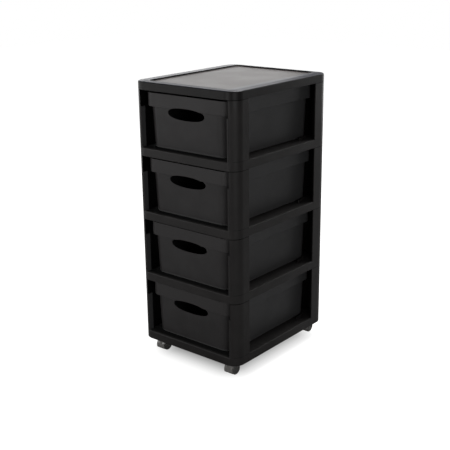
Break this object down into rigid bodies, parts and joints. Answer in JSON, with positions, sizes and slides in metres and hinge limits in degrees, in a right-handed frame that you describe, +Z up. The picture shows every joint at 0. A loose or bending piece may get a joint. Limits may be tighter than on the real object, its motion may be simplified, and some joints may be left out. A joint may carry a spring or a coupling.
{
  "type": "four-drawer storage tower on casters",
  "caption": "Tall narrow storage tower of stacked open-sided tiers with deep pull-out drawers, a flat cover with a sunk panel and small twin-wheel casters.",
  "frame": {"origin": "on the floor, under the middle of the body", "axes": "+Z up; the drawers open towards -Y, the front; +X to the right as seen from the front"},
  "size_m": [0.289, 0.35, 0.6563],
  "materials": {
    "cover_plastic": "fine spark-eroded grain, charcoal black",
    "frame_plastic": "fine grain, black",
    "drawer_plastic": "satin, black",
    "caster_plastic": "gloss, dark grey",
    "wheel_plastic": "satin, dark grey",
    "socket_plastic": "plain, grey",
    "steel": "zinc plated"
  },
  "bodies": {
    "tower_frame": {"top_cover": "cover_plastic", "tier_frame_1": "frame_plastic", "tier_frame_2": "frame_plastic", "tier_frame_3": "frame_plastic", "tier_frame_4": "frame_plastic", "caster_front_left_socket": "socket_plastic", "caster_front_right_socket": "socket_plastic", "caster_rear_left_socket": "socket_plastic", "caster_rear_right_socket": "socket_plastic"},
    "drawer_1": {"drawer_1": "drawer_plastic"},
    "drawer_2": {"drawer_2": "drawer_plastic"},
    "drawer_3": {"drawer_3": "drawer_plastic"},
    "drawer_4": {"drawer_4": "drawer_plastic"},
    "caster_front_left": {"caster_front_left_stem": "steel", "caster_front_left_housing": "caster_plastic", "caster_front_left_axle": "steel"},
    "caster_front_left_wheel_left": {"caster_front_left_wheel_left": "wheel_plastic"},
    "caster_front_left_wheel_right": {"caster_front_left_wheel_right": "wheel_plastic"},
    "caster_front_right": {"caster_front_right_stem": "steel", "caster_front_right_housing": "caster_plastic", "caster_front_right_axle": "steel"},
    "caster_front_right_wheel_left": {"caster_front_right_wheel_left": "wheel_plastic"},
    "caster_front_right_wheel_right": {"caster_front_right_wheel_right": "wheel_plastic"},
    "caster_rear_left": {"caster_rear_left_stem": "steel", "caster_rear_left_housing": "caster_plastic", "caster_rear_left_axle": "steel"},
    "caster_rear_left_wheel_left": {"caster_rear_left_wheel_left": "wheel_plastic"},
    "caster_rear_left_wheel_right": {"caster_rear_left_wheel_right": "wheel_plastic"},
    "caster_rear_right": {"caster_rear_right_stem": "steel", "caster_rear_right_housing": "caster_plastic", "caster_rear_right_axle": "steel"},
    "caster_rear_right_wheel_left": {"caster_rear_right_wheel_left": "wheel_plastic"},
    "caster_rear_right_wheel_right": {"caster_rear_right_wheel_right": "wheel_plastic"}
  },
  "joints": [
    {"name": "drawer_1_slide", "type": "slide", "parent": "tower_frame", "child": "drawer_1", "axis": [0, -1, 0], "range_m": [0, 0.24]},
    {"name": "drawer_2_slide", "type": "slide", "parent": "tower_frame", "child": "drawer_2", "axis": [0, -1, 0], "range_m": [0, 0.24]},
    {"name": "drawer_3_slide", "type": "slide", "parent": "tower_frame", "child": "drawer_3", "axis": [0, -1, 0], "range_m": [0, 0.24]},
    {"name": "drawer_4_slide", "type": "slide", "parent": "tower_frame", "child": "drawer_4", "axis": [0, -1, 0], "range_m": [0, 0.24]},
    {"name": "caster_front_left_swivel", "type": "hinge", "parent": "tower_frame", "child": "caster_front_left", "pos_m": [-0.106, -0.149, 0.0386], "axis": [0, 0, 1], "continuous": true},
    {"name": "caster_front_left_wheel_left_spin", "type": "hinge", "parent": "caster_front_left", "child": "caster_front_left_wheel_left", "pos_m": [-0.1128, -0.141, 0.0135], "axis": [1, 0, 0], "continuous": true},
    {"name": "caster_front_left_wheel_right_spin", "type": "hinge", "parent": "caster_front_left", "child": "caster_front_left_wheel_right", "pos_m": [-0.0992, -0.141, 0.0135], "axis": [1, 0, 0], "continuous": true},
    {"name": "caster_front_right_swivel", "type": "hinge", "parent": "tower_frame", "child": "caster_front_right", "pos_m": [0.106, -0.149, 0.0386], "axis": [0, 0, 1], "continuous": true},
    {"name": "caster_front_right_wheel_left_spin", "type": "hinge", "parent": "caster_front_right", "child": "caster_front_right_wheel_left", "pos_m": [0.0992, -0.141, 0.0135], "axis": [1, 0, 0], "continuous": true},
    {"name": "caster_front_right_wheel_right_spin", "type": "hinge", "parent": "caster_front_right", "child": "caster_front_right_wheel_right", "pos_m": [0.1128, -0.141, 0.0135], "axis": [1, 0, 0], "continuous": true},
    {"name": "caster_rear_left_swivel", "type": "hinge", "parent": "tower_frame", "child": "caster_rear_left", "pos_m": [-0.106, 0.149, 0.0386], "axis": [0, 0, 1], "continuous": true},
    {"name": "caster_rear_left_wheel_left_spin", "type": "hinge", "parent": "caster_rear_left", "child": "caster_rear_left_wheel_left", "pos_m": [-0.1128, 0.157, 0.0135], "axis": [1, 0, 0], "continuous": true},
    {"name": "caster_rear_left_wheel_right_spin", "type": "hinge", "parent": "caster_rear_left", "child": "caster_rear_left_wheel_right", "pos_m": [-0.0992, 0.157, 0.0135], "axis": [1, 0, 0], "continuous": true},
    {"name": "caster_rear_right_swivel", "type": "hinge", "parent": "tower_frame", "child": "caster_rear_right", "pos_m": [0.106, 0.149, 0.0386], "axis": [0, 0, 1], "continuous": true},
    {"name": "caster_rear_right_wheel_left_spin", "type": "hinge", "parent": "caster_rear_right", "child": "caster_rear_right_wheel_left", "pos_m": [0.0992, 0.157, 0.0135], "axis": [1, 0, 0], "continuous": true},
    {"name": "caster_rear_right_wheel_right_spin", "type": "hinge", "parent": "caster_rear_right", "child": "caster_rear_right_wheel_right", "pos_m": [0.1128, 0.157, 0.0135], "axis": [1, 0, 0], "continuous": true}
  ]
}
